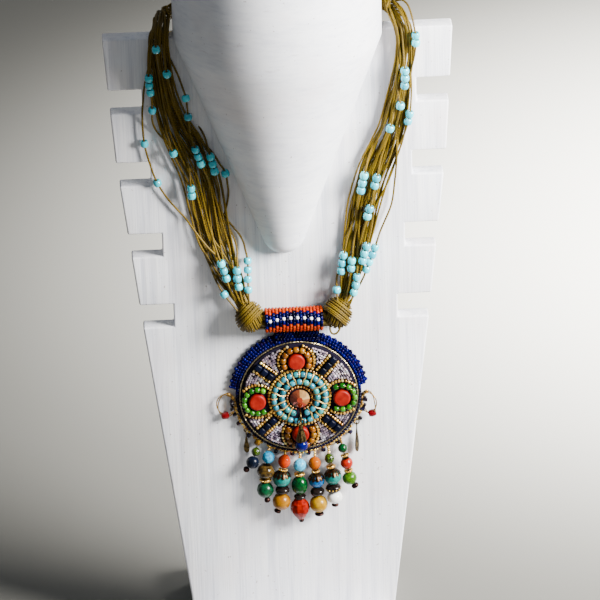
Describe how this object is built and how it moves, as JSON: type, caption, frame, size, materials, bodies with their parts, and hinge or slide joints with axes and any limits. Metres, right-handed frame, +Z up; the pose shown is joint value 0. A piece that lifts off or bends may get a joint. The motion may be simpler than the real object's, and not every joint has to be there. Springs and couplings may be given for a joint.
{
  "type": "beaded pendant necklace on a neck bust",
  "caption": "Necklace of many fine cords with small beads, a bead tube and an embroidered medallion with a bead fringe, worn by a plain slotted neck bust.",
  "frame": {"origin": "centre of the underside of the bust's foot", "axes": "+X to the viewer's right seen from the front, the front faces -Y, +Z up"},
  "size_m": [0.158, 0.12, 0.356],
  "materials": {
    "bust_white": "thin white paint over wood grain",
    "cord_olive": "waxed cord with a dull sheen",
    "clasp_brass": "aged brass",
    "cord_bead_aqua": "opaque glass",
    "seed_orange": "opaque glass seed beads",
    "seed_navy": "glossy glass seed beads",
    "backing_indigo": "dark felt",
    "seed_lilac": "silver lined glass seed beads",
    "gold_metal": "gold plated, bright",
    "crystal_topaz": "cut crystal with a foil back",
    "coral_red": "smooth, nearly matt",
    "turquoise_ring": "opaque glass",
    "amber_glass": "clear glass",
    "leaf_green": "clear glass",
    "navy_block": "glossy glass",
    "thread_gold": "fine metallic thread",
    "old_brass": "dark aged brass",
    "drop_blue": "clear glass",
    "bead_crimson": "clear glass",
    "fringe_navy": "glossy glass",
    "fringe_sky": "clear glass",
    "fringe_olive": "cut glass",
    "fringe_green": "glass",
    "fringe_orange": "glass",
    "fringe_turquoise": "polished stone",
    "fringe_yellow": "opaque glass",
    "fringe_deep_green": "dark glass",
    "fringe_red": "cut glass",
    "fringe_blue": "glass",
    "fringe_white": "glossy",
    "fringe_coral": "polished stone",
    "fringe_dark": "dark cut glass",
    "fringe_thread": "beading thread"
  },
  "bodies": {
    "root": {"bust_board": "bust_white", "bust_neck": "bust_white", "bust_foot": "bust_white", "cord_bundle_left": "cord_olive", "cord_bundle_right": "cord_olive", "cord_core": "cord_olive", "knot_left": "cord_olive", "knot_right": "cord_olive", "strands_left": "cord_olive", "strands_right": "cord_olive", "clasp": "clasp_brass", "cord_beads_left": "cord_bead_aqua", "cord_beads_right": "cord_bead_aqua", "bead_tube": "seed_orange", "tube_strap": "seed_navy", "disc_backing": "backing_indigo", "disc_ground": "seed_lilac", "bezel_ring": "gold_metal", "hoop_left": "gold_metal", "hoop_right": "gold_metal", "leaf_left": "gold_metal", "leaf_right": "gold_metal", "crystal": "crystal_topaz", "coral_top": "coral_red", "coral_left": "coral_red", "coral_right": "coral_red", "coral_bottom": "coral_red", "turquoise_inner": "turquoise_ring", "turquoise_outer": "turquoise_ring", "amber_top": "amber_glass", "amber_bottom": "amber_glass", "green_left": "leaf_green", "green_right": "leaf_green", "navy_bars": "navy_block", "ring_threads": "thread_gold", "drop_bail": "old_brass", "drop_cap": "old_brass", "fringe_brass": "old_brass", "drop_bead": "drop_blue", "hoop_beads": "bead_crimson", "fringe_1_navy": "fringe_navy", "fringe_2_sky": "fringe_sky", "fringe_4_sky": "fringe_sky", "fringe_2_olive": "fringe_olive", "fringe_2_green": "fringe_green", "fringe_7_green": "fringe_green", "fringe_small": "fringe_green", "fringe_3_orange": "fringe_orange", "fringe_5_amber": "fringe_orange", "fringe_3_turquoise": "fringe_turquoise", "fringe_6_turquoise": "fringe_turquoise", "fringe_3_yellow": "fringe_yellow", "fringe_5_yellow": "fringe_yellow", "fringe_4_green": "fringe_deep_green", "fringe_4_red": "fringe_red", "fringe_5_blue": "fringe_blue", "fringe_6_white": "fringe_white", "fringe_7_coral": "fringe_coral", "fringe_dark": "fringe_dark", "fringe_threads": "fringe_thread"}
  },
  "joints": []
}
